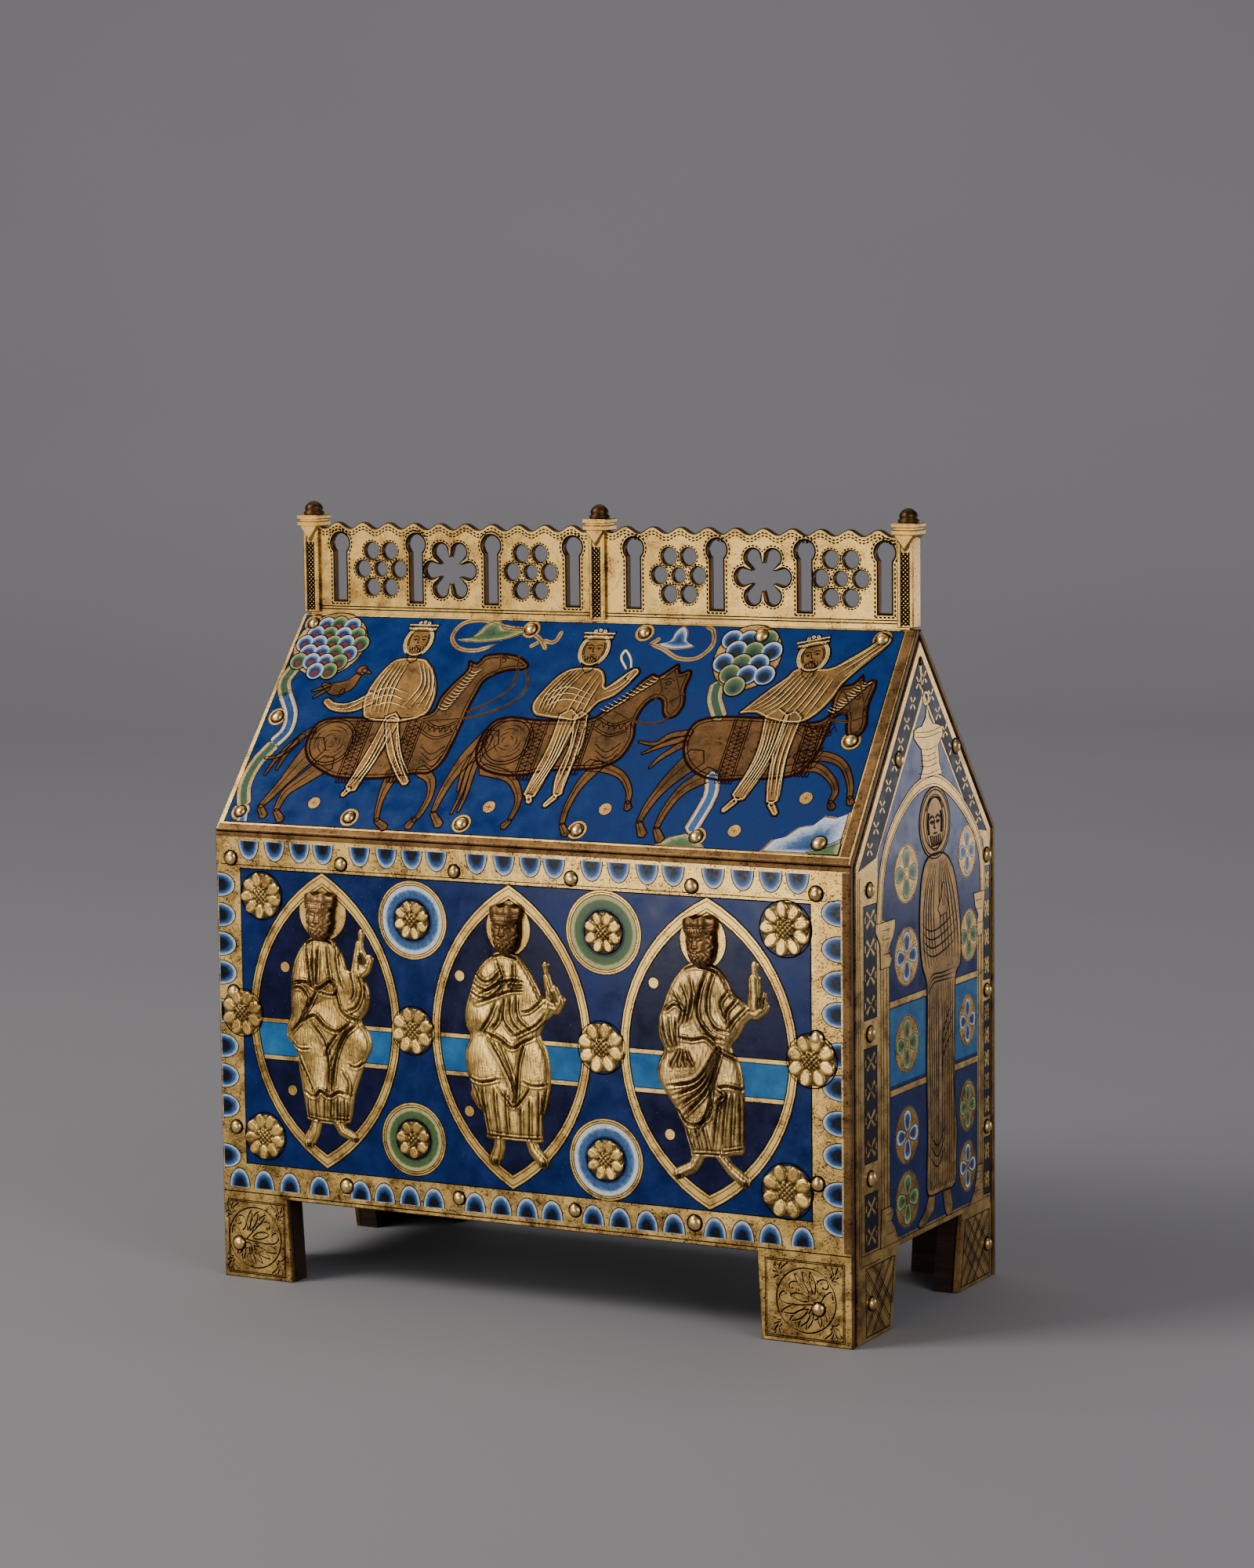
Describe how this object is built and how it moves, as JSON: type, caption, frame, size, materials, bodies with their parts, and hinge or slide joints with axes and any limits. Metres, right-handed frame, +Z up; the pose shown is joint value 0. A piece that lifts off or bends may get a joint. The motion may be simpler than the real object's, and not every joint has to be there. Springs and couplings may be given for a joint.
{
  "type": "reliquary casket",
  "caption": "House-shaped reliquary casket: wooden box on corner feet, clad with gilt and enamelled copper plaques, under a steep roof with a pierced crest.",
  "frame": {"origin": "middle of the underside, on the plane that the feet stand on", "axes": "+X to the right along the front, +Y to the back, +Z up to the crest"},
  "size_m": [0.243, 0.1225, 0.2659],
  "materials": {
    "wood": "dark aged oak, matt",
    "gilt_copper": "worn mercury gilding over copper",
    "dark_gilt_copper": "dark brown worn gilding",
    "bare_copper": "bare, browned copper edges",
    "enamelled_plaque": "glossy fired enamel in gilt copper"
  },
  "bodies": {
    "root": {"board_front": "wood", "board_back": "wood", "board_gable_right": "wood", "board_gable_left": "wood", "board_roof_front": "wood", "board_roof_back": "wood", "board_base": "wood", "plaque_front": "enamelled_plaque", "plaque_back": "enamelled_plaque", "plaque_gable_right": "enamelled_plaque", "plaque_gable_left": "enamelled_plaque", "plaque_roof_front": "enamelled_plaque", "plaque_roof_back": "enamelled_plaque", "crest": "gilt_copper", "post_left": "gilt_copper", "post_middle": "gilt_copper", "post_right": "gilt_copper", "knob_left": "dark_gilt_copper", "knob_middle": "dark_gilt_copper", "knob_right": "dark_gilt_copper", "head_left": "dark_gilt_copper", "head_middle": "dark_gilt_copper", "head_right": "dark_gilt_copper"}
  },
  "joints": []
}
